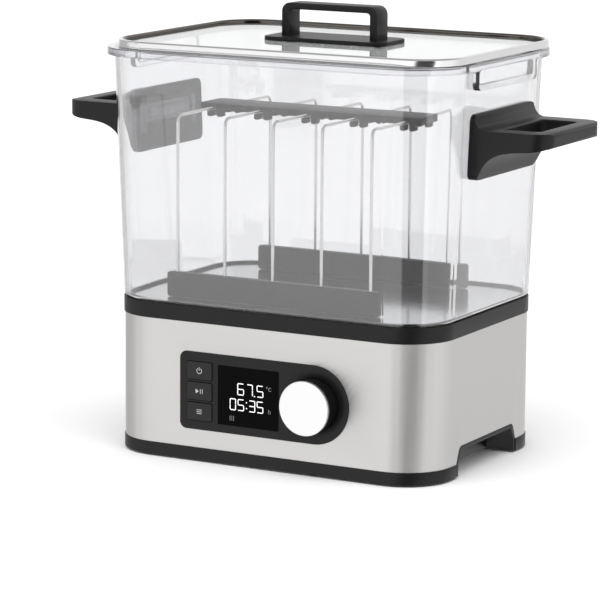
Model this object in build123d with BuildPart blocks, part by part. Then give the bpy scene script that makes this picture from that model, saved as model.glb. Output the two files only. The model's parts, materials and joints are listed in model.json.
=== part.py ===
"""Water-bath cooker: powered base, lift-off clear tank, pouch rack and lid.

Millimetres.  Origin at the centre of the footprint on the surface it stands on,
+X to the right, +Y to the rear, +Z up; the control panel faces -Y.
"""
import os

from build123d import *

os.makedirs("parts", exist_ok=True)

# ---- clearances ---------------------------------------------------------------
body_gap = 0.3
spigot_gap = 0.4
spigot_drop = 1.4
button_gap = 0.35
running_gap = 0.05
pocket_gap = 0.2
floor_gap = 0.2
seal_play = 8.8

# ---- base ---------------------------------------------------------------------
base_x = 250.0
base_y = 180.0
base_r = 35.0
foot_z = 1.5
ring_h = 8.3
shell_h = 87.5
shell_t = 1.0
ring_proud = 0.5
collar_proud = 0.8
tray_floor = 2.5
tray_wall = 3.0
foot_r = 8.0
foot_in_x = 40.0
foot_in_y = 25.0
notch_low = 46.9
notch_high = 42.0
notch_rise = 11.9
notch_r = 5.0
notch_trim = 3.0
notch_depth = 21.0
deck_t = 2.5
boss_r = 4.5
screw_r = 1.7
side_boss_in = (20.0, 32.0)
rear_boss_in = (65.0, 12.0)
gland_in = 47.0
gland_z = 30.0
gland_bore = 3.5

# ---- control panel ------------------------------------------------------------
panel_left = -65.3
panel_h = 54.0
panel_rise = 39.9
panel_r = 5.0
panel_proud = 0.5
panel_t = 3.0
button_in = 5.7
button_w = 19.7
button_h = 12.4
button_space = 1.9
button_proud = 0.6
window_in = 4.5
window_w = 47.7
window_h = 41.4
window_drop = 0.7
window_t = 1.2
board_in = 10.0
board_t = 1.6
knob_in = 7.55
knob_d = 37.5
knob_reach = 14.3
cap_t = 2.2
shaft_r = 3.0

# ---- heater and electrics -----------------------------------------------------
plate_in_x = 52.0
plate_in_y = 37.0
plate_r = 18.0
element_r = 3.5
shield_drop = 13.3
board_left = -66.0
board_right = 46.0
board_half = 36.0
board_z = 22.0

# ---- tank ---------------------------------------------------------------------
wall_t = 3.5
flare = 0.0388
tank_h = 173.2
tank_over = 1.3
tank_round = 0.7
spigot_in = 1.85
spigot_t = 2.6
spigot_h = 7.3
lip_t = 3.0
lip_drop = 1.2
lip_w = 8.0
gasket_t = 0.5
floor_t = 1.0
clamp_t = 2.8
flange_over = (9.26, 8.46)
flange_round = 3.58
flange_t = 5.2
ledge_in = 13.94
pocket_y = 45.5
pocket_drop = 18.7
pocket_in = 0.5

# ---- side handles -------------------------------------------------------------
handle_y = 47.0
handle_drop = 34.2
handle_h = 44.0
grip_in = 3.0
grip_reach = 52.7
grip_drop = 10.2
finger_in = 13.5
finger_w = 26.5
finger_y = 31.0
finger_r = 3.5
rib_y = 31.0
rib_out = 2.0
rib_rise = ((20.0, 22.2), (29.4, 32.3))
tab_rise = 13.2

# ---- lid ----------------------------------------------------------------------
lid_in = (12.0, 13.2)
lid_round = 11.4
lid_h = 5.3
glass_rise = 3.1
bead_w = 4.0
rim_ledge = 0.6
seal_w = 2.5
seal_round = 2.4
seal_drop = 2.9
arch_w = 73.8
arch_h = 22.7
arch_leg = 5.4
arch_bar = 4.4
arch_y = 16.0
base_plate_x = 94.0
base_plate_y = 42.0
base_plate_t = 2.9

# ---- rack ---------------------------------------------------------------------
rack_shift = -6.4
hoop_pitch = 37.5
hoop_count = 5
wire_r = 1.1
hoop_rise = 126.4
hoop_bend = 5.0
rail_x = 164.0
rail_in = 26.65
rail_w = 6.0
rail_h = 17.3
bar_x = 172.5
bar_y = 30.0
bar_below = 1.7
bar_above = 3.1
tooth_w = 4.5
tooth_off = 3.7
tooth_d = 5.0
tooth_drop = 6.2

# ---- places that follow from the sizes ----------------------------------------
ring_top = foot_z + ring_h
shell_top = ring_top + shell_h
deck_top = shell_top + deck_t
spigot_z0 = deck_top + spigot_drop
tank_z0 = spigot_z0 + spigot_h
collar_top = tank_z0 - body_gap
tank_top = tank_z0 + tank_h
foot_x = base_x / 2 - foot_in_x
foot_y = base_y / 2 - foot_in_y
notch_top = ring_top + notch_rise
gland_x = base_x / 2 - gland_in
boss_places = []
for side_x in (-1, 1):
    for side_y in (-1, 1):
        boss_places.append((side_x * (base_x / 2 - side_boss_in[0]), side_y * (base_y / 2 - side_boss_in[1])))
    boss_places.append((side_x * (base_x / 2 - rear_boss_in[0]), base_y / 2 - rear_boss_in[1]))

panel_z = ring_top + panel_rise
button_x = panel_left + button_in + button_w / 2
button_pitch = button_h + button_space
window_left = button_x + button_w / 2 + window_in
window_right = window_left + window_w
window_z = panel_z - window_drop
window_low = window_z - window_h / 2
window_high = window_z + window_h / 2
knob_x = window_right + knob_in + knob_d / 2
board_y = board_in - base_y / 2

plate_x = base_x - 2 * plate_in_x
plate_y = base_y - 2 * plate_in_y

tank_x = base_x + tank_over
tank_y = base_y + tank_over
tank_r = base_r + tank_round
top_grow = flare * tank_h
flange_x = tank_x + 2 * top_grow + flange_over[0]
flange_y = tank_y + 2 * top_grow + flange_over[1]
flange_r = tank_r + top_grow + flange_round
ledge_x = tank_x + 2 * top_grow - ledge_in
ledge_y = tank_y + 2 * top_grow - ledge_in
ledge_r = tank_r + top_grow - ledge_in / 2 - 0.05
lip_top = tank_z0 - lip_drop
lip_z0 = lip_top - lip_t
floor_top = lip_top + gasket_t + floor_t
pocket_z0 = tank_top - pocket_drop
pocket_x = flange_x / 2 - pocket_in

plate_z1 = tank_top - handle_drop
plate_z0 = plate_z1 - handle_h
grip_face = flange_x / 2 - grip_in
grip_tip = grip_face + grip_reach
grip_top = plate_z1 - grip_drop
finger_x0 = grip_face + finger_in
finger_x1 = finger_x0 + finger_w
rib_z = [[plate_z0 + rise for rise in pair] for pair in rib_rise]
tab_z0 = plate_z0 + tab_rise
rib_mid = plate_z0 + 25.5

lid_z0 = tank_top + body_gap
lid_top = lid_z0 + lid_h
glass_top = lid_z0 + glass_rise
lid_x = flange_x - lid_in[0]
lid_y = flange_y - lid_in[1]
lid_r = flange_r - lid_round
seal_x = ledge_x - seal_play
seal_y = ledge_y - seal_play
seal_r = ledge_r - seal_round
seal_z0 = tank_top - seal_drop
lid_shift = seal_play / 2 - body_gap
plate_top = glass_top + base_plate_t
arch_top = plate_top + arch_h
arch_under = arch_top - arch_bar

rail_z0 = floor_top + body_gap
rail_z1 = rail_z0 + rail_h
rail_y = tank_y / 2 - rail_in
hoop_y = rail_y + 1.0
hoop_z = floor_top + hoop_rise
bar_z0 = hoop_z - bar_below
bar_z1 = hoop_z + bar_above
tooth_z0 = hoop_z - tooth_drop


def front(y):
    """Plane facing the front, with X across and Z up."""
    return Plane(origin=(0, y, 0), x_dir=(1, 0, 0), z_dir=(0, -1, 0))


def slab(size_x, size_y, radius, z0, z1, mode=Mode.ADD, at=(0.0, 0.0)):
    """Rounded rectangle in plan between two heights."""
    with BuildSketch(Plane.XY.offset(z0)) as outline:
        with Locations(at):
            RectangleRounded(size_x, size_y, radius)
    extrude(outline.sketch, amount=z1 - z0, mode=mode)


def block(x0, x1, y0, y1, z0, z1, mode=Mode.ADD):
    """Plain box between two corners."""
    with Locations(((x0 + x1) / 2, (y0 + y1) / 2, (z0 + z1) / 2)):
        Box(x1 - x0, y1 - y0, z1 - z0, mode=mode)


def pin(x, y, radius, z0, z1, mode=Mode.ADD):
    """Upright cylinder."""
    with Locations((x, y, (z0 + z1) / 2)):
        Cylinder(radius, z1 - z0, mode=mode)


def pin_y(x, z, radius, y0, y1, mode=Mode.ADD):
    """Cylinder lying front to back."""
    with Locations((x, (y0 + y1) / 2, z)):
        Cylinder(radius, y1 - y0, rotation=(90, 0, 0), mode=mode)


def save(builder, name):
    """Name a solid and write it out."""
    builder.part.label = name
    export_step(builder.part, "parts/" + name + ".step")


def panel_outline(grow, y, depth, mode=Mode.ADD):
    """Panel shape: straight left end, half-round right end, extruded to the rear."""
    height = panel_h + 2 * grow
    with BuildSketch(front(y)) as outline:
        with Locations(((panel_left - grow + knob_x) / 2, panel_z)):
            RectangleRounded(knob_x - panel_left + grow, height, panel_r + grow)
        with Locations(((panel_left + 20 + knob_x) / 2, panel_z)):
            Rectangle(knob_x - panel_left - 20, height)
        with Locations((knob_x, panel_z)):
            Circle(height / 2)
    extrude(outline.sketch, amount=-depth, mode=mode)


def notch_outline(inset, x, depth, mode=Mode.ADD):
    """Hand-hold shape on a side face, extruded towards +X."""
    low = notch_low - inset
    high = notch_high - inset
    top = notch_top - inset
    with BuildSketch(Plane.YZ.offset(x)) as outline:
        with BuildLine():
            Polyline((-low, foot_z), (low, foot_z), (low, ring_top), (high, top),
                     (-high, top), (-low, ring_top), close=True)
        make_face()
        fillet(outline.vertices().group_by(Axis.Y)[-1], notch_r - inset / 2)
    extrude(outline.sketch, amount=depth, mode=mode)


def tank_half(z):
    """Outer half width of the flared wall at a height."""
    return tank_x / 2 + flare * (z - tank_z0)


def flared(inset, z0, z1, mode=Mode.ADD):
    """Flared rounded box between two heights."""
    outlines = []
    for z in (z0, z1):
        grow = flare * (z - tank_z0) - inset
        with BuildSketch(Plane.XY.offset(z)) as outline:
            RectangleRounded(tank_x + 2 * grow, tank_y + 2 * grow, tank_r + grow)
        outlines.append(outline.sketch)
    loft(outlines, ruled=True, mode=mode)


def side_pocket(inset, top, mode=Mode.ADD):
    """Bulge through both short sides of the tank, just under the rim."""
    reach = pocket_x - inset
    with BuildSketch(Plane.YZ.offset(-reach)) as outline:
        with Locations((0, (pocket_z0 + inset + top) / 2)):
            RectangleRounded(2 * (pocket_y - inset), top - pocket_z0 - inset, 4.5 - inset / 2)
    extrude(outline.sketch, amount=2 * reach, mode=mode)


# ============================ base ==============================================
notch_back = base_x / 2 - notch_depth - 2.0

with BuildPart() as steel_shell:
    slab(base_x, base_y, base_r, ring_top, shell_top)
    slab(base_x - 2 * shell_t, base_y - 2 * shell_t, base_r - shell_t, ring_top, shell_top, Mode.SUBTRACT)
    panel_outline(0.0, -base_y / 2 - 1, shell_t + 2, Mode.SUBTRACT)
    notch_outline(0.0, base_x / 2 - 5, 10, Mode.SUBTRACT)
    notch_outline(0.0, -base_x / 2 - 5, 10, Mode.SUBTRACT)
    pin_y(gland_x, gland_z, 7.0, base_y / 2 - 3, base_y / 2 + 3, Mode.SUBTRACT)
save(steel_shell, "steel_shell")

tray_top = foot_z + tray_floor
with BuildPart() as bottom_tray:
    slab(base_x + 2 * ring_proud, base_y + 2 * ring_proud, base_r + ring_proud, foot_z, ring_top)
    slab(base_x - 2 * tray_wall, base_y - 2 * tray_wall, base_r - tray_wall, tray_top, ring_top, Mode.SUBTRACT)
    for board_x in (board_left + 4, board_right - 4):
        for board_side in (6 - board_half, board_half - 6):
            pin(board_x, board_side, 3.5, tray_top, board_z)
    for boss in boss_places:
        pin(boss[0], boss[1], screw_r + 0.1, foot_z, tray_top, Mode.SUBTRACT)
        pin(boss[0], boss[1], 3.6, foot_z, foot_z + 1.5, Mode.SUBTRACT)
    for side_x in (-foot_x, foot_x):
        for side_y in (-foot_y, foot_y):
            pin(side_x, side_y, foot_r, foot_z, foot_z + 1.2, Mode.SUBTRACT)
    for slot_y in (-50.0, 50.0):
        with BuildSketch(Plane.XY.offset(foot_z)):
            with Locations((0, slot_y)):
                with GridLocations(8.0, 0, 13, 1):
                    SlotOverall(22, 3, rotation=90)
        extrude(amount=tray_floor, mode=Mode.SUBTRACT)
    notch_outline(0.0, notch_back, 40, Mode.SUBTRACT)
    notch_outline(0.0, -notch_back - 40, 40, Mode.SUBTRACT)
save(bottom_tray, "bottom_tray")

with BuildPart() as hand_hold_right:
    notch_outline(0.0, notch_back, notch_depth + 2.0)
    notch_outline(notch_trim, notch_back + 2.0, notch_depth + 5, Mode.SUBTRACT)
save(hand_hold_right, "hand_hold_right")

with BuildPart() as hand_hold_left:
    add(hand_hold_right.part.mirror(Plane.YZ))
save(hand_hold_left, "hand_hold_left")

for end, side_y in (("front", -foot_y), ("rear", foot_y)):
    for hand, side_x in (("left", -foot_x), ("right", foot_x)):
        with BuildPart() as foot:
            pin(side_x, side_y, foot_r, 0, foot_z + 1.2)
            fillet(foot.edges().group_by(Axis.Z)[0], 0.6)
        save(foot, "foot_" + end + "_" + hand)

collar_in_x = tank_x - 2 * spigot_in + 2 * spigot_gap
collar_in_y = tank_y - 2 * spigot_in + 2 * spigot_gap
collar_in_r = tank_r - spigot_in + spigot_gap
with BuildPart() as top_collar:
    slab(base_x + 2 * collar_proud, base_y + 2 * collar_proud, base_r + collar_proud, shell_top, collar_top)
    fillet(top_collar.edges().group_by(Axis.Z)[-1], 0.5)
    slab(collar_in_x, collar_in_y, collar_in_r, deck_top, collar_top, Mode.SUBTRACT)
    slab(base_x - 3, base_y - 3, base_r - 1.5, shell_top - 4, shell_top)
    slab(base_x - 7, base_y - 7, base_r - 3.5, shell_top - 4, shell_top, Mode.SUBTRACT)
    slab(plate_x + 4, plate_y + 4, plate_r + 2, shell_top, deck_top, Mode.SUBTRACT)
    for boss in boss_places:
        pin(boss[0], boss[1], boss_r, tray_top, shell_top)
        pin(boss[0], boss[1], screw_r, tray_top, tray_top + 16, Mode.SUBTRACT)
save(top_collar, "top_collar")

with BuildPart() as base_screws:
    for boss in boss_places:
        pin(boss[0], boss[1], 3.3, foot_z + 0.1, foot_z + 1.5)
        pin(boss[0], boss[1], screw_r, foot_z + 1.5, tray_top + 12)
        pin(boss[0], boss[1], 0.9, foot_z + 0.1, foot_z + 0.9, Mode.SUBTRACT)
save(base_screws, "base_screws")

with BuildPart() as cord_gland:
    pin_y(gland_x, gland_z, 10.0, base_y / 2, base_y / 2 + 3)
    pin_y(gland_x, gland_z, 7.5, base_y / 2 + 3, base_y / 2 + knob_reach)
    fillet(cord_gland.edges().group_by(Axis.Y)[-1], 1.5)
    pin_y(gland_x, gland_z, 7.0, base_y / 2 - 14, base_y / 2)
    pin_y(gland_x, gland_z, 9.5, base_y / 2 - 5, base_y / 2 - shell_t)
    pin_y(gland_x, gland_z, gland_bore, base_y / 2 - 20, base_y / 2 + knob_reach + 1, Mode.SUBTRACT)
save(cord_gland, "cord_gland")

# ---- control panel group -------------------------------------------------------
panel_face = -base_y / 2 - panel_proud
panel_rear = panel_face + panel_t
button_rows = (("menu", -1), ("start", 0), ("power", 1))
window_x = (window_left + window_right) / 2
post_places = [(x, z) for x in (window_left - 1.5, window_right + 4.7) for z in (window_low + 0.2, window_high + 1.3)]

with BuildPart() as control_panel:
    panel_outline(0.0, panel_face, panel_t)
    panel_outline(3.0, -base_y / 2 + shell_t, panel_rear + base_y / 2 - shell_t)
    for label, row in button_rows:
        with BuildSketch(front(panel_face - 1)):
            with Locations((button_x, panel_z + row * button_pitch)):
                RectangleRounded(button_w + 2 * button_gap, button_h + 2 * button_gap, 1.6)
        extrude(amount=-(panel_t + 2), mode=Mode.SUBTRACT)
    with BuildSketch(front(panel_face)):
        with Locations((window_x, window_z)):
            RectangleRounded(window_right - window_left, window_high - window_low, 1.0)
    extrude(amount=-window_t, mode=Mode.SUBTRACT)
    block(window_left + 2, window_right - 2, panel_face - 1, panel_rear + 1, window_low + 2, window_high - 2,
          Mode.SUBTRACT)
    pin_y(knob_x, panel_z, knob_d / 2 + 0.45, panel_face - 1, panel_face + 1.2, Mode.SUBTRACT)
    pin_y(knob_x, panel_z, 4.8, panel_face - 1, panel_rear + 1, Mode.SUBTRACT)
    for post in post_places:
        pin_y(post[0], post[1], 1.2, panel_rear, board_y)
save(control_panel, "control_panel")

for label, row in button_rows:
    with BuildPart() as button:
        z = panel_z + row * button_pitch
        with BuildSketch(front(panel_face - button_proud)):
            with Locations((button_x, z)):
                RectangleRounded(button_w, button_h, 1.3)
        extrude(amount=-(panel_t + button_proud + 0.4))
        fillet(button.edges().group_by(Axis.Y)[0], 0.4)
        block(button_x - button_w / 2 - 0.95, button_x + button_w / 2 + 0.95, panel_rear + body_gap,
              panel_rear + body_gap + 1.0, z - button_h / 2 - 0.65, z + button_h / 2 + 0.65)
        pin_y(button_x, z, 2.0, panel_rear + 1.2, board_y - 4.6)
    save(button, label + "_button")

with BuildPart() as display_window:
    with BuildSketch(front(panel_face)):
        with Locations((window_x, window_z)):
            RectangleRounded(window_right - window_left, window_high - window_low, 1.0)
    extrude(amount=-window_t)
save(display_window, "display_window")

with BuildPart() as display_module:
    block(window_left + 0.8, window_right - 0.8, panel_rear, board_y, window_low + 1, window_high - 1)
save(display_module, "display_module")

with BuildPart() as control_board:
    block(button_x - button_w / 2 - 2.4, knob_x + 17.4, board_y, board_y + board_t, panel_z - 23.7, panel_z + 23.8)
save(control_board, "control_board")

with BuildPart() as button_switches:
    for label, row in button_rows:
        z = panel_z + row * button_pitch
        block(button_x - 3, button_x + 3, board_y - 2.5, board_y, z - 3, z + 3)
        pin_y(button_x, z, 1.75, board_y - 3.3, board_y - 2.5)
save(button_switches, "button_switches")

encoder_face = board_y - 6.0
with BuildPart() as rotary_encoder:
    block(knob_x - 6.5, knob_x + 6.5, encoder_face, board_y, panel_z - 6.5, panel_z + 6.5)
    pin_y(knob_x, panel_z, 4.4, encoder_face - 4.0, encoder_face)
    pin_y(knob_x, panel_z, shaft_r + running_gap, encoder_face - 5.0, encoder_face + 3.0, Mode.SUBTRACT)
save(rotary_encoder, "rotary_encoder")

knob_front = -base_y / 2 - knob_reach
skirt_rear = panel_face + 0.7
with BuildPart() as encoder_shaft:
    pin_y(knob_x, panel_z, shaft_r, knob_front + cap_t + 2.0, encoder_face + 2.5)
save(encoder_shaft, "encoder_shaft")

with BuildPart() as knob_skirt:
    pin_y(knob_x, panel_z, knob_d / 2 - 0.4, knob_front + cap_t, skirt_rear)
    fillet(knob_skirt.edges().group_by(Axis.Y)[-1], 0.5)
    pin_y(knob_x, panel_z, 5.5, skirt_rear - 2.7, skirt_rear + 1, Mode.SUBTRACT)
    pin_y(knob_x, panel_z, shaft_r, knob_front + cap_t + 2.0, skirt_rear, Mode.SUBTRACT)
save(knob_skirt, "knob_skirt")

with BuildPart() as knob_cap:
    pin_y(knob_x, panel_z, knob_d / 2, knob_front, knob_front + cap_t)
    fillet(knob_cap.edges().group_by(Axis.Y)[0], 0.7)
save(knob_cap, "knob_cap")

# ---- heater and electrics ------------------------------------------------------
heater_top = floor_top - floor_t - body_gap
with BuildPart() as heating_plate:
    slab(plate_x, plate_y, plate_r, shell_top - 3, heater_top)
    fillet(heating_plate.edges().group_by(Axis.Z)[-1], 0.8)
    slab(plate_x + 12, plate_y + 12, plate_r + 6, shell_top - 3, shell_top)
    pin(0, 0, 6.5, shell_top - 5, heater_top + 1, Mode.SUBTRACT)
save(heating_plate, "heating_plate")

with BuildPart() as heater_gasket:
    slab(plate_x + 4, plate_y + 4, plate_r + 2, shell_top, deck_top + 0.4)
    slab(plate_x, plate_y, plate_r, shell_top, deck_top + 0.4, Mode.SUBTRACT)
save(heater_gasket, "heater_gasket")

with BuildPart() as temperature_sensor:
    pin(0, 0, 6.0, shell_top - 6, heater_top)
    pin(0, 0, 8.0, shell_top - 6, shell_top - 3)
save(temperature_sensor, "temperature_sensor")

element_z = shell_top - 3 - element_r
element_x = plate_x / 2 - 15
element_front = 17 - plate_y / 2
element_end = plate_y / 2 - 13
lead_x = 12.0
with BuildPart() as heating_element:
    with BuildLine() as element_path:
        FilletPolyline((-lead_x, element_end, element_z), (-lead_x, element_end - 6, element_z),
                       (-element_x, element_end - 6, element_z), (-element_x, element_front, element_z),
                       (element_x, element_front, element_z), (element_x, element_end - 6, element_z),
                       (lead_x, element_end - 6, element_z), (lead_x, element_end, element_z), radius=5.5)
    with BuildSketch(Plane(origin=element_path.line @ 0, z_dir=element_path.line % 0)):
        Circle(element_r)
    sweep()
save(heating_element, "heating_element")

shield_z = shell_top - shield_drop
with BuildPart() as heat_shield:
    slab(plate_x - 6, plate_y - 6, 12, shield_z, shield_z + 1)
    for post_x in (7 - plate_x / 2, plate_x / 2 - 7):
        for post_y in (7 - plate_y / 2, plate_y / 2 - 7):
            pin(post_x, post_y, 2.5, shield_z + 1, shell_top - 3)
    block(-lead_x - 8, lead_x + 8, element_end - 4, plate_y / 2 + 2, shield_z - 1, shield_z + 2, Mode.SUBTRACT)
save(heat_shield, "heat_shield")

with BuildPart() as thermal_fuse:
    block(24 - element_x, 40 - element_x, element_front + 12, element_front + 20, element_z - element_r, shell_top - 3)
save(thermal_fuse, "thermal_fuse")

with BuildPart() as power_board:
    block(board_left, board_right, -board_half, board_half, board_z, board_z + board_t)
save(power_board, "power_board")

board_face = board_z + board_t
with BuildPart() as transformer:
    block(-58, -26, -26, 8, board_face, board_face + 10)
    block(-53, -31, -22, 4, board_face + 10, board_face + 27)
    fillet(transformer.edges().filter_by(Axis.Z), 1.5)
save(transformer, "transformer")

with BuildPart() as relay:
    block(-16, 3, -26, -10, board_face, board_face + 16)
    fillet(relay.edges().group_by(Axis.Z)[-1], 0.8)
save(relay, "relay")

with BuildPart() as capacitor:
    pin(26, -16, 8.0, board_face, board_face + 24)
    fillet(capacitor.edges().group_by(Axis.Z)[-1], 1.0)
save(capacitor, "capacitor")

with BuildPart() as terminal_block:
    block(-16, 16, 14, 26, board_face, board_face + 11)
save(terminal_block, "terminal_block")

lead_top = element_z - element_r
with BuildPart() as heater_leads:
    for x in (-lead_x, lead_x):
        pin(x, element_end - 1, 1.3, board_face, lead_top)
        block(x - 1.3, x + 1.3, 26, element_end - 1, board_face + 3, board_face + 5.6)
save(heater_leads, "heater_leads")

with BuildPart() as ribbon_cable:
    block(-12, 12, board_y + board_t, board_y + board_t + 1.0, board_z + 6, panel_z + 10.3)
    block(-12, 12, board_y + board_t, -board_half, board_z + 5, board_z + 6)
    block(-12, 12, -board_half - 1, -board_half, board_face, board_z + 6)
    block(-12, 12, -board_half - 1, 3 - board_half, board_face, board_face + 1.0)
save(ribbon_cable, "ribbon_cable")

# ============================ tank ==============================================
spigot_x = tank_x - 2 * spigot_in
spigot_y = tank_y - 2 * spigot_in
spigot_r = tank_r - spigot_in
flange_z0 = tank_top - flange_t
floor_x = spigot_x - 2 * (spigot_t + floor_gap)
floor_y = spigot_y - 2 * (spigot_t + floor_gap)
floor_r = spigot_r - spigot_t - floor_gap
clamp_x = floor_x / 2 - floor_r - 9.95
clamp_y = floor_y / 2 - floor_r - 24.95
clamp_places = ((-clamp_x, -1, 0), (0, -1, 0), (clamp_x, -1, 0), (-clamp_x, 1, 0), (0, 1, 0), (clamp_x, 1, 0),
                (-clamp_y, 0, -1), (clamp_y, 0, -1), (-clamp_y, 0, 1), (clamp_y, 0, 1))


def clamp_at(place):
    """Plan position of one clamp screw: along, then which side it is on."""
    if place[1]:
        return (place[0], place[1] * (floor_y / 2 - lip_w / 2))
    return (place[2] * (floor_x / 2 - lip_w / 2), place[0])


with BuildPart() as tank_wall:
    flared(0.0, tank_z0, tank_top)
    fillet(tank_wall.edges().group_by(Axis.Z)[0], 2.8)
    slab(flange_x, flange_y, flange_r, flange_z0, tank_top)
    fillet(tank_wall.edges().group_by(Axis.Z)[-1], 0.8)
    side_pocket(0.0, flange_z0 + 4)
    slab(spigot_x, spigot_y, spigot_r, spigot_z0, tank_z0 + 0.8)
    for sign in (-1, 1):
        near = min(sign * (tank_half(plate_z0) - 1), sign * (tank_half(rib_mid) + rib_out))
        far = max(sign * (tank_half(plate_z0) - 1), sign * (tank_half(rib_mid) + rib_out))
        block(near, far, -rib_y, rib_y, rib_z[0][0], rib_z[1][1])
        block(near, far, 6 - rib_y, rib_y - 6, rib_z[0][1], rib_z[1][0], Mode.SUBTRACT)
        block(near, far, -rib_y - 9, -rib_y - 2.5, tab_z0, rib_z[1][1])
        block(near, far, rib_y + 2.5, rib_y + 9, tab_z0, rib_z[1][1])
    side_pocket(wall_t, flange_z0, Mode.SUBTRACT)
    flared(wall_t, tank_z0, flange_z0, Mode.SUBTRACT)
    slab(ledge_x, ledge_y, ledge_r, flange_z0, tank_top, Mode.SUBTRACT)
    slab(floor_x + 2 * floor_gap, floor_y + 2 * floor_gap, floor_r + floor_gap, lip_top, tank_z0 + 0.8, Mode.SUBTRACT)
    slab(floor_x - 2 * lip_w, floor_y - 2 * lip_w, floor_r - lip_w, spigot_z0, lip_top, Mode.SUBTRACT)
    slab(floor_x + 2 * floor_gap, floor_y + 2 * floor_gap, floor_r + floor_gap, spigot_z0, lip_z0, Mode.SUBTRACT)
    for place in clamp_places:
        spot = clamp_at(place)
        pin(spot[0], spot[1], 1.7, lip_z0 - 1, lip_top + 1, Mode.SUBTRACT)
save(tank_wall, "tank_wall")

with BuildPart() as tank_floor:
    slab(floor_x, floor_y, floor_r, floor_top - floor_t, floor_top)
save(tank_floor, "tank_floor")

with BuildPart() as floor_gasket:
    slab(floor_x, floor_y, floor_r, lip_top, floor_top - floor_t)
    slab(floor_x - 2 * lip_w, floor_y - 2 * lip_w, floor_r - lip_w, lip_top, floor_top - floor_t, Mode.SUBTRACT)
    for place in clamp_places:
        spot = clamp_at(place)
        pin(spot[0], spot[1], 1.6, lip_top - 1, floor_top, Mode.SUBTRACT)
save(floor_gasket, "floor_gasket")

bead_x = tank_x - 2 * wall_t
bead_y = tank_y - 2 * wall_t
with BuildPart() as floor_seal:
    slab(bead_x, bead_y, tank_r - wall_t, floor_top, floor_top + 1.6)
    slab(bead_x - 4.4, bead_y - 4.4, tank_r - wall_t - 2.2, floor_top, floor_top + 1.6, Mode.SUBTRACT)
save(floor_seal, "floor_seal")

clamp_z0 = lip_z0 - clamp_t
with BuildPart() as clamp_ring:
    slab(floor_x, floor_y, floor_r, clamp_z0, lip_z0)
    slab(floor_x - 2 * lip_w - 4, floor_y - 2 * lip_w - 4, floor_r - lip_w - 2, clamp_z0, lip_z0, Mode.SUBTRACT)
    for place in clamp_places:
        spot = clamp_at(place)
        pin(spot[0], spot[1], 1.6, clamp_z0, lip_z0, Mode.SUBTRACT)
        pin(spot[0], spot[1], 3.2, clamp_z0, clamp_z0 + 1.5, Mode.SUBTRACT)
save(clamp_ring, "clamp_ring")

with BuildPart() as clamp_screws:
    for place in clamp_places:
        spot = clamp_at(place)
        pin(spot[0], spot[1], 3.0, clamp_z0, clamp_z0 + 1.5)
        pin(spot[0], spot[1], 1.5, clamp_z0 + 1.5, floor_top - floor_t)
        pin(spot[0], spot[1], 0.8, clamp_z0, clamp_z0 + 0.7, Mode.SUBTRACT)
save(clamp_screws, "clamp_screws")

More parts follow.
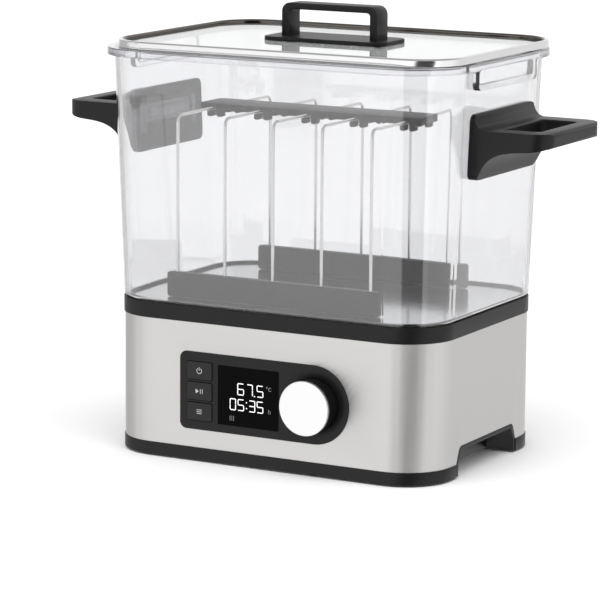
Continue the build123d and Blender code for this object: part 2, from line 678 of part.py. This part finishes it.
low_wall = tank_half(plate_z0)
high_wall = tank_half(plate_z1)
with BuildPart() as handle_right:
    with BuildSketch(front(handle_y)):
        with BuildLine():
            Line((low_wall, plate_z0), (high_wall, plate_z1))
            Line((high_wall, plate_z1), (grip_face - 0.6, plate_z1))
            TangentArc((grip_face - 0.6, plate_z1), (grip_face + 0.6, plate_z1 - 1.2), tangent=(1, 0))
            Line((grip_face + 0.6, plate_z1 - 1.2), (grip_face + 0.6, grip_top + 8.0))
            TangentArc((grip_face + 0.6, grip_top + 8.0), (grip_face + 8.6, grip_top), tangent=(0, -1))
            Line((grip_face + 8.6, grip_top), (grip_tip - 3.0, grip_top))
            TangentArc((grip_tip - 3.0, grip_top), (grip_tip, grip_top - 3.0), tangent=(1, 0))
            Line((grip_tip, grip_top - 3.0), (grip_tip, grip_top - 7.2))
            TangentArc((grip_tip, grip_top - 7.2), (grip_tip - 3.0, grip_top - 10.2), tangent=(0, -1))
            Spline((grip_tip - 3.0, grip_top - 10.2), (grip_face + 32, grip_top - 12.9),
                   (grip_face + 18, grip_top - 15.4), (grip_face + 11, grip_top - 19.2),
                   (grip_face + 6, grip_top - 25.0), (grip_face + 3, grip_top - 30.6),
                   (grip_face + 1.4, plate_z0))
            Line((grip_face + 1.4, plate_z0), (low_wall, plate_z0))
        make_face()
    extrude(amount=2 * handle_y)
    slab(2 * grip_tip, 2 * handle_y, 15.0, plate_z0 - 1, plate_z1 + 1, Mode.INTERSECT)
    with BuildSketch(Plane.YZ.offset(low_wall - 5)):
        with Locations((0, (plate_z0 + plate_z1) / 2)):
            RectangleRounded(2 * handle_y, plate_z1 - plate_z0, 5.0)
    extrude(amount=grip_tip - low_wall + 10, mode=Mode.INTERSECT)
    with BuildSketch(Plane.XY.offset(plate_z0 - 3)):
        with Locations(((finger_x0 + finger_x1) / 2, 0)):
            RectangleRounded(finger_x1 - finger_x0, 2 * finger_y, finger_r)
    extrude(amount=handle_h + 6, mode=Mode.SUBTRACT)
    around_hole = handle_right.edges().filter_by_position(Axis.X, finger_x0 - 0.1, finger_x1 + 0.1)
    around_hole = around_hole.filter_by_position(Axis.Y, -finger_y - 0.1, finger_y + 0.1)
    fillet(around_hole.filter_by_position(Axis.Z, grip_top - 0.1, grip_top + 0.1), 1.2)
    with BuildSketch(Plane.YZ.offset(low_wall - 1)):
        with Locations((0, (rib_z[0][0] + rib_z[1][1]) / 2)):
            Rectangle(2 * (rib_y + pocket_gap), rib_z[1][1] - rib_z[0][0] + 2 * pocket_gap)
        with Locations((0, (rib_z[0][1] + rib_z[1][0]) / 2)):
            Rectangle(2 * (rib_y - 6 - pocket_gap), rib_z[1][0] - rib_z[0][1] - 2 * pocket_gap, mode=Mode.SUBTRACT)
        with Locations((-rib_y - 5.75, (tab_z0 + rib_z[1][1]) / 2), (rib_y + 5.75, (tab_z0 + rib_z[1][1]) / 2)):
            Rectangle(6.5 + 2 * pocket_gap, rib_z[1][1] - tab_z0 + 2 * pocket_gap)
    extrude(amount=tank_half(rib_mid) + rib_out + pocket_gap - low_wall + 1, mode=Mode.SUBTRACT)
save(handle_right, "handle_right")

with BuildPart() as handle_left:
    add(handle_right.part.mirror(Plane.YZ))
save(handle_left, "handle_left")

# ============================ rack ==============================================
hoop_xs = [rack_shift + hoop_pitch * (i - (hoop_count - 1) / 2) for i in range(hoop_count)]
bar_mid = rack_shift - 0.8

for label, side in (("front", -1), ("rear", 1)):
    with BuildPart() as rail:
        with BuildSketch(front(side * rail_y + rail_w / 2)):
            with Locations((rack_shift - 0.5, (rail_z0 + rail_z1) / 2)):
                RectangleRounded(rail_x, rail_z1 - rail_z0, 2.0)
        extrude(amount=rail_w)
        fillet(rail.edges().group_by(Axis.Y)[0] + rail.edges().group_by(Axis.Y)[-1], 0.7)
        for x in hoop_xs:
            pin(x, side * hoop_y, wire_r, rail_z0 + 4, rail_z1 + 1, Mode.SUBTRACT)
    save(rail, "rack_rail_" + label)

with BuildPart() as rack_bar:
    slab(bar_x, bar_y, 2.5, bar_z0, bar_z1, at=(bar_mid, 0))
    for x in hoop_xs:
        for edge in (bar_y / 2, tooth_d - bar_y / 2):
            tooth_mid = (tooth_z0 + bar_z0 + 1) / 2
            with BuildSketch(front(edge)):
                with Locations((x - tooth_off, tooth_mid), (x + tooth_off, tooth_mid)):
                    RectangleRounded(tooth_w, bar_z0 + 1 - tooth_z0, 1.4)
            extrude(amount=tooth_d)
        block(x - wire_r, x + wire_r, -bar_y, bar_y, bar_z0 - 1, hoop_z, Mode.SUBTRACT)
        pin_y(x, hoop_z, wire_r, -bar_y, bar_y, Mode.SUBTRACT)
save(rack_bar, "rack_bar")

for i, x in enumerate(hoop_xs):
    with BuildPart() as hoop:
        with BuildLine() as hoop_path:
            FilletPolyline((x, -hoop_y, rail_z0 + 4), (x, -hoop_y, hoop_z), (x, hoop_y, hoop_z),
                           (x, hoop_y, rail_z0 + 4), radius=hoop_bend)
        with BuildSketch(Plane(origin=hoop_path.line @ 0, z_dir=hoop_path.line % 0)):
            Circle(wire_r)
        sweep()
    save(hoop, "rack_hoop_" + str(i + 1))

# ============================ lid ===============================================
glass_z0 = lid_z0 + rim_ledge
lid_at = (lid_shift, 0.0)
leg_mid = arch_w / 2 - arch_leg / 2

with BuildPart() as lid_rim:
    slab(lid_x, lid_y, lid_r, lid_z0, lid_top, at=lid_at)
    slab(lid_x - 2 * bead_w, lid_y - 2 * bead_w, lid_r - bead_w, glass_z0, lid_top, Mode.SUBTRACT, lid_at)
    fillet(lid_rim.edges().group_by(Axis.Z)[-1], 1.8)
    slab(seal_x, seal_y, seal_r, lid_z0, glass_z0, Mode.SUBTRACT, lid_at)
save(lid_rim, "lid_rim")

with BuildPart() as lid_glass:
    slab(lid_x - 2 * bead_w, lid_y - 2 * bead_w, lid_r - bead_w, glass_z0, glass_top, at=lid_at)
    for side in (-1, 1):
        pin(lid_shift + side * leg_mid, 0, 2.0, glass_z0 - 1, glass_top + 1, Mode.SUBTRACT)
save(lid_glass, "lid_glass")

with BuildPart() as lid_seal:
    slab(seal_x, seal_y, seal_r, seal_z0, glass_z0, at=lid_at)
    slab(seal_x - 2 * seal_w, seal_y - 2 * seal_w, seal_r - seal_w, seal_z0, glass_z0, Mode.SUBTRACT, lid_at)
save(lid_seal, "lid_seal")

with BuildPart() as lid_handle_plate:
    slab(base_plate_x, base_plate_y, 9.0, glass_top, plate_top, at=lid_at)
    fillet(lid_handle_plate.edges().group_by(Axis.Z)[-1], 0.8)
    with Locations((lid_shift, -base_plate_y / 2, glass_top + 0.5)):
        with GridLocations(26.0, 0, 3, 1):
            Box(6.0, 2.4, 1.0, mode=Mode.SUBTRACT)
    for side in (-1, 1):
        pin(lid_shift + side * leg_mid, 0, 1.6, glass_top - 1, plate_top + 1, Mode.SUBTRACT)
save(lid_handle_plate, "lid_handle_plate")

with BuildPart() as lid_handle:
    block(lid_shift - arch_w / 2, lid_shift + arch_w / 2, -arch_y / 2, arch_y / 2, plate_top, arch_top)
    fillet(lid_handle.edges().filter_by(Axis.Y).group_by(Axis.Z)[-1], 6.2)
    with BuildSketch(front(arch_y)) as under:
        with Locations((lid_shift, (plate_top - 4 + arch_under) / 2)):
            RectangleRounded(arch_w - 2 * arch_leg, arch_under - plate_top + 4, 2.5)
    extrude(amount=2 * arch_y, mode=Mode.SUBTRACT)
    for side in (-1, 1):
        pin(lid_shift + side * leg_mid, 0, 1.5, plate_top - 1, plate_top + 9, Mode.SUBTRACT)
save(lid_handle, "lid_handle")

with BuildPart() as lid_washers:
    for side in (-1, 1):
        pin(lid_shift + side * leg_mid, 0, 5.0, glass_z0 - 0.6, glass_z0)
        pin(lid_shift + side * leg_mid, 0, 1.6, glass_z0 - 1, glass_z0 + 1, Mode.SUBTRACT)
save(lid_washers, "lid_washers")

with BuildPart() as lid_screws:
    for side in (-1, 1):
        pin(lid_shift + side * leg_mid, 0, 3.2, glass_z0 - 2.6, glass_z0 - 0.6)
        pin(lid_shift + side * leg_mid, 0, 1.5, glass_z0 - 0.6, plate_top + 8)
        pin(lid_shift + side * leg_mid, 0, 1.0, glass_z0 - 2.6, glass_z0 - 1.6, Mode.SUBTRACT)
save(lid_screws, "lid_screws")
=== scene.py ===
import json
import math

import bmesh
import bpy
from mathutils import Matrix, Vector


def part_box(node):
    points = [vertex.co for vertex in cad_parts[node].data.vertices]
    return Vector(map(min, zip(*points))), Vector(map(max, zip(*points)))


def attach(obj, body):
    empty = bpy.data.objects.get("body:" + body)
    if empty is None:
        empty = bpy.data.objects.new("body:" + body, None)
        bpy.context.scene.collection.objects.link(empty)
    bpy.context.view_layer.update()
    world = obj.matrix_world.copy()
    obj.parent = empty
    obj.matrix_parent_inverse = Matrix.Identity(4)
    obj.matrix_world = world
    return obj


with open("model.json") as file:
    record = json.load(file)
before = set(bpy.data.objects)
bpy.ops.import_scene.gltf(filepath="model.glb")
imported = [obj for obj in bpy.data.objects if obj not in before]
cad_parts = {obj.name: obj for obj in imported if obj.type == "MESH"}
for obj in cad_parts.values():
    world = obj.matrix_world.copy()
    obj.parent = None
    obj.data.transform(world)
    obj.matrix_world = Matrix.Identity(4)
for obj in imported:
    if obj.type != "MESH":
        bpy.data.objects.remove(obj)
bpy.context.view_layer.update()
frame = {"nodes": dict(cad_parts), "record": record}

MM = 0.001
nodes = frame["nodes"]
scene = bpy.context.scene
scene.view_settings.view_transform = "Standard"
scene.view_settings.look = "None"

# ---------------------------------------------------------------- node helpers


class Graph:
    """Small wrapper that adds nodes to one tree and links them."""

    def __init__(self, tree):
        self.tree = tree
        tree.nodes.clear()

    def add(self, kind, **settings):
        node = self.tree.nodes.new(kind)
        for key, value in settings.items():
            setattr(node, key, value)
        return node

    def put(self, socket, value):
        if isinstance(value, bpy.types.NodeSocket):
            self.tree.links.new(value, socket)
        else:
            socket.default_value = value

    def math(self, operation, a, b=0.0, c=0.0, clamp=False):
        node = self.add("ShaderNodeMath", operation=operation, use_clamp=clamp)
        for socket, value in zip(node.inputs, (a, b, c)):
            self.put(socket, value)
        return node.outputs[0]

    def ramp(self, value, stops, interpolation="LINEAR"):
        node = self.add("ShaderNodeValToRGB")
        node.color_ramp.interpolation = interpolation
        elements = node.color_ramp.elements
        while len(elements) < len(stops):
            elements.new(0.5)
        for element, (place, level) in zip(elements, stops):
            element.position = place
        for element, (place, level) in zip(elements, stops):
            rgb = level if isinstance(level, tuple) else (level, level, level)
            element.color = (*rgb, 1.0)
        self.put(node.inputs[0], value)
        return node.outputs[0]

    def noise(self, vector, scale, detail=2.0, roughness=0.5):
        node = self.add("ShaderNodeTexNoise")
        self.put(node.inputs["Vector"], vector)
        node.inputs["Scale"].default_value = scale
        node.inputs["Detail"].default_value = detail
        node.inputs["Roughness"].default_value = roughness
        return node.outputs["Fac"]

    def stretch(self, vector, scale):
        node = self.add("ShaderNodeMapping")
        self.put(node.inputs["Vector"], vector)
        node.inputs["Scale"].default_value = scale
        return node.outputs[0]

    def mix(self, factor, a, b):
        node = self.add("ShaderNodeMix", data_type="RGBA")
        self.put(node.inputs[0], factor)
        self.put(node.inputs[6], a)
        self.put(node.inputs[7], b)
        return node.outputs[2]

    def bump(self, height, strength, distance):
        node = self.add("ShaderNodeBump")
        node.inputs["Strength"].default_value = strength
        node.inputs["Distance"].default_value = distance
        self.put(node.inputs["Height"], height)
        return node.outputs[0]


def new_material(name):
    material = bpy.data.materials.new(name)
    material.use_nodes = True
    graph = Graph(material.node_tree)
    place = graph.add("ShaderNodeTexCoord").outputs["Object"]
    shader = graph.add("ShaderNodeBsdfPrincipled")
    output = graph.add("ShaderNodeOutputMaterial")
    graph.tree.links.new(shader.outputs[0], output.inputs["Surface"])
    return material, graph, place, shader, output


def rgba(level, tint=(1.0, 1.0, 1.0)):
    return tuple(level * t for t in tint) + (1.0,)


BRUSH_SPREAD = 0.05
BRUSH_DEPTH = 0.00002


def brushed(name, base, rough, grain=(6, 6, 900), tint=(1.0, 0.985, 0.965), stretch=0.0):
    """Metal with fine lines drawn along one direction."""
    material, g, place, shader, output = new_material(name)
    fine = g.noise(g.stretch(place, grain), 1.0, 3.0, 0.6)
    wide = g.noise(place, 9.0, 2.0)
    level = g.math("MULTIPLY_ADD", fine, 0.12, 0.94)
    level = g.math("MULTIPLY", level, g.math("MULTIPLY_ADD", wide, 0.05, 0.975))
    g.put(shader.inputs["Base Color"], g.mix(level, rgba(base * 0.82, tint), rgba(base, tint)))
    lowest = rough - BRUSH_SPREAD / 2
    g.put(shader.inputs["Roughness"], g.math("MULTIPLY_ADD", fine, BRUSH_SPREAD, lowest))
    g.put(shader.inputs["Normal"], g.bump(fine, 0.35, BRUSH_DEPTH))
    shader.inputs["Metallic"].default_value = 1.0
    if stretch:
        shader.inputs["Anisotropic"].default_value = stretch
        tangent = g.add("ShaderNodeTangent", direction_type="RADIAL", axis="Z")
        g.put(shader.inputs["Tangent"], tangent.outputs[0])
    return material


def painted_shade_rim_steel(name, base, inner_painted_shade):
    """Polished steel rim; its inner side gets painted shade, darker than its top and outside."""
    material, g, place, shader, output = new_material(name)
    fine = g.noise(g.stretch(place, (30, 30, 500)), 1.0, 3.0, 0.6)
    low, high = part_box("lid_rim")
    offset = g.add("ShaderNodeVectorMath", operation="SUBTRACT")
    g.put(offset.inputs[0], place)
    offset.inputs[1].default_value = tuple((low + high) / 2)
    flat = g.add("ShaderNodeVectorMath", operation="MULTIPLY")
    g.put(flat.inputs[0], offset.outputs[0])
    flat.inputs[1].default_value = (1.0, 1.0, 0.0)
    outward = g.add("ShaderNodeVectorMath", operation="NORMALIZE")
    g.put(outward.inputs[0], flat.outputs[0])
    facing = g.add("ShaderNodeVectorMath", operation="DOT_PRODUCT")
    g.put(facing.inputs[0], outward.outputs[0])
    g.put(facing.inputs[1], g.add("ShaderNodeNewGeometry").outputs["Normal"])
    side = g.math("MULTIPLY_ADD", facing.outputs["Value"], 0.5, 0.5)
    # Painted shade: faces turned towards the lid's centre take the dark colour, the rest the
    # steel's.
    shade = g.ramp(side, ((0.0, inner_painted_shade), (0.36, inner_painted_shade), (0.46, base), (1.0, base)))
    g.put(shader.inputs["Base Color"], g.mix(fine, g.mix(0.06, shade, rgba(0.0)), shade))
    g.put(shader.inputs["Roughness"], g.math("MULTIPLY_ADD", fine, 0.05, 0.12))
    shader.inputs["Metallic"].default_value = 1.0
    return material


def moulded(name, base, rough, grain=1800.0, depth=0.00004, tint=(1.0, 1.0, 1.0), specular=0.5):
    """Moulded plastic or rubber with a fine spark-eroded texture."""
    material, g, place, shader, output = new_material(name)
    fine = g.noise(place, grain, 2.0, 0.6)
    wide = g.noise(place, 22.0, 3.0)
    g.put(shader.inputs["Base Color"], g.mix(wide, rgba(base * 0.9, tint), rgba(base * 1.1, tint)))
    g.put(shader.inputs["Roughness"], g.math("MULTIPLY_ADD", wide, 0.06, rough - 0.03))
    g.put(shader.inputs["Normal"], g.bump(fine, 0.25, depth))
    shader.inputs["Specular IOR Level"].default_value = specular
    return material


def clear(name, tint, ior, rough=0.0, coat=0.0, murk=0.0):
    """Clear plastic or glass that lets lamps through; murk is how fast its body absorbs light."""
    material, g, place, shader, output = new_material(name)
    shader.inputs["Base Color"].default_value = (*tint, 1.0)
    shader.inputs["Roughness"].default_value = rough
    shader.inputs["IOR"].default_value = ior
    shader.inputs["Transmission Weight"].default_value = 1.0
    shader.inputs["Coat Weight"].default_value = coat
    shader.inputs["Coat Roughness"].default_value = 0.02
    shader.inputs["Coat IOR"].default_value = 1.6
    if murk:
        body = g.add("ShaderNodeVolumeAbsorption")
        body.inputs["Color"].default_value = (0.38, 0.38, 0.48, 1.0)
        body.inputs["Density"].default_value = murk
        g.tree.links.new(body.outputs[0], output.inputs["Volume"])
    see_through = g.add("ShaderNodeBsdfTransparent")
    see_through.inputs[0].default_value = (*tint, 1.0)
    path = g.add("ShaderNodeLightPath")
    mixer = g.add("ShaderNodeMixShader")
    g.put(mixer.inputs[0], path.outputs["Is Shadow Ray"])
    g.tree.links.new(shader.outputs[0], mixer.inputs[1])
    g.tree.links.new(see_through.outputs[0], mixer.inputs[2])
    g.tree.links.new(mixer.outputs[0], output.inputs["Surface"])
    return material


def glowing(name, color, strength):
    """Lit marks on the display."""
    material, g, place, shader, output = new_material(name)
    level = g.math("MULTIPLY_ADD", g.noise(place, 300.0), 0.1, 0.95)
    g.put(shader.inputs["Base Color"], g.mix(level, rgba(0.7), (*color, 1.0)))
    shader.inputs["Emission Color"].default_value = (*color, 1.0)
    shader.inputs["Emission Strength"].default_value = strength
    shader.inputs["Roughness"].default_value = 0.6
    return material


looks = {
    "steel": brushed("brushed_steel_shell", 0.61, 0.40, stretch=0.7),
    "floor_steel": brushed("polished_floor_steel", 0.72, 0.16, grain=(5, 700, 5),
                           tint=(0.98, 0.99, 1.0)),
    # The rim's side facing the lid's centre carries a painted shade colour, not its steel's own.
    "chrome_rim": painted_shade_rim_steel("polished_rim_steel_painted_shade", 0.74, (0.125, 0.115, 0.105)),
    "wire": brushed("wire_steel", 0.74, 0.2, grain=(200, 200, 40), tint=(1, 0.99, 0.97)),
    "screw_steel": brushed("screw_steel", 0.55, 0.3, grain=(300, 300, 300)),
    "knob_metal": brushed("knob_aluminium", 0.78, 0.28, grain=(300, 10, 20), tint=(1, 1, 1)),
    "black_plastic": moulded("black_plastic", 0.0065, 0.40, specular=0.24),
    "button_black": moulded("button_plastic", 0.008, 0.3, depth=0.00001, specular=0.3),
    "window": moulded("window_black", 0.002, 0.07, depth=0.000001, specular=0.03),
    "module": moulded("module_plastic", 0.04, 0.5),
    "board": moulded("board_green", 0.05, 0.4, tint=(0.3, 1.4, 0.5)),
    "capacitor": moulded("capacitor_sleeve", 0.06, 0.3, tint=(0.5, 0.6, 1.6)),
    "aluminium": brushed("cast_aluminium", 0.62, 0.4, grain=(150, 150, 150), tint=(1, 1, 1)),
    "sensor": brushed("sensor_steel", 0.6, 0.3, grain=(200, 200, 200)),
    "silicone": moulded("black_silicone", 0.014, 0.45, specular=0.3),
    "clear_silicone": moulded("pale_silicone", 0.55, 0.35),
    "leads": moulded("lead_insulation", 0.35, 0.45),
    "foot_rubber": moulded("foot_rubber", 0.02, 0.7),
    "clear_tank": clear("clear_tank_plastic", (0.895, 0.897, 0.903), 1.57, coat=0.7, murk=20.0),
    "lid_glass": clear("clear_lid_glass", (0.97, 0.985, 0.98), 1.52),
}
print_grey = moulded("printed_grey", 0.5, 0.5, depth=0.0)
digit_glow = glowing("display_glow", (0.86, 0.88, 0.88), 0.45)
faint_glow = glowing("display_faint", (0.2, 0.2, 0.21), 0.12)

for part in frame["record"]["subparts"]:
    obj = nodes[part["node"]]
    obj.data.materials.clear()
    obj.data.materials.append(looks[part["material_slot"]])

# Width in millimetres of the small rounding that each moulded or pressed piece gets on its edges.
ROUNDED = {
    "handle_left": 1.1, "handle_right": 1.1, "lid_handle": 0.9, "top_collar": 0.4,
    "bottom_tray": 0.5, "hand_hold_left": 0.6, "hand_hold_right": 0.6, "control_panel": 0.3,
    "rack_bar": 0.4, "lid_rim": 0.4, "steel_shell": 0.25,
}
WELD_REACH = 0.005
ROUND_STEPS = 3
SHARP_ANGLE = 40
for name, width in ROUNDED.items():
    weld = nodes[name].modifiers.new("weld", "WELD")
    weld.merge_threshold = WELD_REACH * MM
    bevel = nodes[name].modifiers.new("bevel", "BEVEL")
    bevel.width = width * MM
    bevel.segments = ROUND_STEPS
    bevel.limit_method = "ANGLE"
    bevel.angle_limit = math.radians(SHARP_ANGLE)
    bevel.use_clamp_overlap = True
    bevel.harden_normals = True
    for polygon in nodes[name].data.polygons:
        polygon.use_smooth = True

# ---------------------------------------------------------------- flat marks


def flat_piece(name, outlines, y, thickness, material, body):
    """Thin raised print: closed outlines in (x, z) metres, facing the front at depth y."""
    mesh = bpy.data.meshes.new(name)
    bm = bmesh.new()
    for outline in outlines:
        face = bm.faces.new([bm.verts.new((x, y, z)) for x, z in outline])
        face.normal_update()
        if face.normal.y > 0:
            face.normal_flip()
    extruded = bmesh.ops.extrude_face_region(bm, geom=list(bm.faces))
    moved = [v for v in extruded["geom"] if isinstance(v, bmesh.types.BMVert)]
    bmesh.ops.translate(bm, verts=moved, vec=(0, -thickness, 0))
    bmesh.ops.recalc_face_normals(bm, faces=bm.faces)
    bm.to_mesh(mesh)
    bm.free()
    obj = bpy.data.objects.new(name, mesh)
    scene.collection.objects.link(obj)
    mesh.materials.append(material)
    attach(obj, body)


def bar(x0, z0, x1, z1, width, taper=0.5):
    """Outline of one stroke with pointed ends."""
    a = Vector((x0, z0))
    b = Vector((x1, z1))
    along = (b - a).normalized()
    side = Vector((-along.y, along.x)) * width / 2
    tip = along * width / 2 * taper
    return [tuple(p) for p in (a - tip, a + side, b + side, b + tip, b - side, a - side)]


def ring_arc(x, z, radius, width, start, stop, steps=24):
    """Outline strips of an arc, angles in degrees from +X towards +Z."""
    strips = []
    for i in range(steps):
        a = math.radians(start + (stop - start) * i / steps)
        b = math.radians(start + (stop - start) * (i + 1) / steps)
        quad = []
        for angle, r in ((a, radius - width / 2), (a, radius + width / 2), (b, radius + width / 2),
                         (b, radius - width / 2)):
            quad.append((x + r * math.cos(angle), z + r * math.sin(angle)))
        strips.append(quad)
    return strips


# Strokes of the figures shown: a top, b and c right, d bottom, e and f left, g middle.
SEGMENTS = {"0": "abcdef", "3": "abgcd", "5": "afgcd", "6": "afgedc", "7": "abc"}


def digit(figure, x0, x1, z0, z1, width):
    """Seven-segment figure between two corners."""
    h = width / 2
    gap = width * 0.28
    mid = (z0 + z1) / 2
    ends = {
        "a": (x0 + h, z1 - h, x1 - h, z1 - h), "g": (x0 + h, mid, x1 - h, mid),
        "d": (x0 + h, z0 + h, x1 - h, z0 + h),
        "f": (x0 + h, mid, x0 + h, z1 - h), "b": (x1 - h, mid, x1 - h, z1 - h),
        "e": (x0 + h, z0 + h, x0 + h, mid), "c": (x1 - h, z0 + h, x1 - h, mid),
    }
    strokes = []
    for letter in SEGMENTS[figure]:
        ax, az, bx, bz = ends[letter]
        ux, uz = (gap + h * 0.5, 0) if az == bz else (0, gap + h * 0.5)
        strokes.append(bar(ax + ux, az + uz, bx - ux, bz - uz, width, 1.0))
    return strokes


def scaled(outlines):
    return [[(x * MM, z * MM) for x, z in outline] for outline in outlines]


window_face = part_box("display_window")[0].y
STROKE = 0.64
DOT = 0.8
THIN = 0.4
MARK_HEIGHT = 0.03 * MM
UPPER = (50.3, 58.6)
LOWER = (39.4, 47.6)
figures = []
for figure, x0, x1 in (("6", -20.0, -14.8), ("7", -12.7, -7.9), ("5", -4.9, 0.3)):
    figures += digit(figure, x0, x1, *UPPER, STROKE)
for figure, x0, x1 in (("0", -25.9, -21.0), ("5", -19.7, -14.7), ("3", -11.0, -6.0),
                       ("5", -4.8, 0.3)):
    figures += digit(figure, x0, x1, *LOWER, STROKE)
for x0, z0 in ((-7.0, UPPER[0]), (-13.2, 41.2), (-13.2, 45.2)):
    x1, z1 = x0 + DOT, z0 + DOT
    figures.append([(x0, z0), (x1, z0), (x1, z1), (x0, z1)])
flat_piece("display_figures", scaled(figures), window_face, MARK_HEIGHT, digit_glow,
           "base")

faint = ring_arc(3.0, 57.8, 0.5, 0.3, 0, 360, 16) + ring_arc(5.5, 56.6, 1.2, THIN, 50, 310, 16)
faint += [bar(4.3, 39.6, 4.3, 42.6, THIN), bar(5.7, 39.6, 5.7, 41.0, THIN)]
faint += ring_arc(5.0, 41.0, 0.7, THIN, 0, 180, 10)
faint += [bar(x, 32.0, x, 35.4, THIN) for x in (-25.6, -24.2, -22.8)]
flat_piece("display_faint_marks", scaled(faint), window_face, MARK_HEIGHT, faint_glow,
           "base")

ICON_HEIGHT = 0.02 * MM
ICON_STROKE = 0.45
buttons = {name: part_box(name + "_button") for name in ("power", "start", "menu")}
icon_x = (buttons["power"][0].x + buttons["power"][1].x) / 2 / MM
power_z, start_z, menu_z = ((low.z + high.z) / 2 / MM for low, high in buttons.values())
icons = {
    "power": ring_arc(icon_x, power_z, 1.9, ICON_STROKE, 125, 415, 30)
    + [bar(icon_x, power_z + 0.2, icon_x, power_z + 2.5, ICON_STROKE)],
    "start": [
        [(icon_x - 2.8, start_z - 1.6), (icon_x - 0.3, start_z), (icon_x - 2.8, start_z + 1.6)],
        *(bar(x, start_z - 1.6, x, start_z + 1.6, ICON_STROKE)
          for x in (icon_x + 0.9, icon_x + 2.5)),
    ],
    "menu": [
        bar(icon_x - 1.9, z, icon_x + 1.9, z, ICON_STROKE)
        for z in (menu_z - 1.3, menu_z, menu_z + 1.3)
    ],
}
for name, outlines in icons.items():
    flat_piece(name + "_icon", scaled(outlines), buttons[name][0].y, ICON_HEIGHT, print_grey,
               name + "_key")

# ---------------------------------------------------------------- floor, light and camera

FLOOR_HALF = 6.0
floor_mesh = bpy.data.meshes.new("studio_floor")
bm = bmesh.new()
bmesh.ops.create_grid(bm, x_segments=8, y_segments=8, size=FLOOR_HALF)
bm.to_mesh(floor_mesh)
bm.free()
floor = bpy.data.objects.new("studio_floor", floor_mesh)
scene.collection.objects.link(floor)
floor_look, g, place, shader, output = new_material("floor_white")
g.put(shader.inputs["Base Color"], g.mix(g.noise(place, 3.0), rgba(0.93), rgba(0.95)))
shader.inputs["Roughness"].default_value = 0.9
shader.inputs["Specular IOR Level"].default_value = 0.1
floor_mesh.materials.append(floor_look)
floor.visible_glossy = False

world = bpy.data.worlds.new("studio")
scene.world = world
world.use_nodes = True
g = Graph(world.node_tree)
direction = g.add("ShaderNodeTexCoord").outputs["Generated"]
axes = g.add("ShaderNodeSeparateXYZ")
g.put(axes.inputs[0], direction)
turn = g.math("ARCTAN2", axes.outputs[0], g.math("MULTIPLY", axes.outputs[1], -1.0))
turn = g.math("MULTIPLY_ADD", turn, 0.5 / math.pi, 0.5)
rise = g.math("MULTIPLY_ADD", g.math("ARCSINE", axes.outputs[2]), 1.0 / math.pi, 0.5)


def around(*stops):
    """Ramp stops from (degrees from the front towards +X, level)."""
    return [((degrees + 180.0) / 360.0, level) for degrees, level in stops]


def upward(*stops):
    """Ramp stops from (degrees above the horizon, level)."""
    return [((degrees + 90.0) / 180.0, level) for degrees, level in stops]


# Light levels of the room's walls by direction. A ramp can't hold more than 1, so SCALE keeps
# them under it and the background's strength undoes it.
SCALE = 0.5
FRONT = 1.3 * SCALE
SIDE = 0.95 * SCALE
BACK = 1.0 * SCALE
SHADE = 0.6 * SCALE
GAP = 0.08 * SCALE
STRIP = 1.7 * SCALE
FAR = 0.9 * SCALE
CEILING = 0.5 * SCALE
WALL_TOP = 34
CEILING_EDGE = 42
sides = g.ramp(turn, around((-180, FAR), (-176, BACK), (-126, BACK), (-120, SHADE), (-84, SHADE),
                            (-66, 0.85 * FRONT), (-36, 0.92 * FRONT), (-20, 1.12 * FRONT),
                            (14, 1.12 * FRONT), (18, GAP), (59, GAP), (61, STRIP), (68, STRIP),
                            (74, 1.35 * SIDE),
                            (104, 1.3 * SIDE), (128, SIDE), (165, SIDE), (180, FAR)))
lift = g.ramp(rise, upward((-90, 1.0), (WALL_TOP, 1.0), (CEILING_EDGE, 0.0), (90, 0.0)))
sky = g.math("MULTIPLY", sides, lift)
top = g.ramp(rise, upward((-90, 0.0), (WALL_TOP, 0.0), (CEILING_EDGE, CEILING), (90, CEILING)))
total = g.math("ADD", sky, top)
background = g.add("ShaderNodeBackground")
g.put(background.inputs["Color"], total)
background.inputs["Strength"].default_value = 1.0 / SCALE
world_out = g.add("ShaderNodeOutputWorld")
g.tree.links.new(background.outputs[0], world_out.inputs[0])

# One wide soft source overhead, leaning to the camera's side. It is hidden from glossy and
# transmission rays, so it shows in no reflection.
SOFTBOX_SPREAD = 70
SOFTBOX_POWER = 2.15
SOFTBOX_TILT = 25
SOFTBOX_TURN = 28.6
lamp = bpy.data.lights.new("overhead_softbox", "SUN")
lamp.angle = math.radians(SOFTBOX_SPREAD)
lamp.energy = SOFTBOX_POWER
lamp_obj = bpy.data.objects.new("overhead_softbox", lamp)
lamp_obj.rotation_euler = (math.radians(SOFTBOX_TILT), 0, math.radians(SOFTBOX_TURN))
lamp_obj.visible_glossy = False
lamp_obj.visible_transmission = False
scene.collection.objects.link(lamp_obj)

CAMERA_PLACE = (1.0547, -1.9728, 0.5145)
CAMERA_LENS = 195.37
AZ, EL, ROLL = (math.radians(v) for v in (28.61, 10.315, 0.422))
away = Vector((math.sin(AZ) * math.cos(EL), -math.cos(AZ) * math.cos(EL), math.sin(EL)))
flat_right = (-away).cross(Vector((0, 0, 1))).normalized()
flat_up = flat_right.cross(-away).normalized()
right = flat_right * math.cos(ROLL) + flat_up * math.sin(ROLL)
up = -flat_right * math.sin(ROLL) + flat_up * math.cos(ROLL)
camera_data = bpy.data.cameras.new("camera")
camera_data.sensor_width = 36.0
camera_data.lens = CAMERA_LENS
camera_data.clip_end = 60.0
camera = bpy.data.objects.new("camera", camera_data)
turned = Matrix((right, up, away)).transposed().to_4x4()
camera.matrix_world = Matrix.Translation(CAMERA_PLACE) @ turned
scene.collection.objects.link(camera)
scene.camera = camera
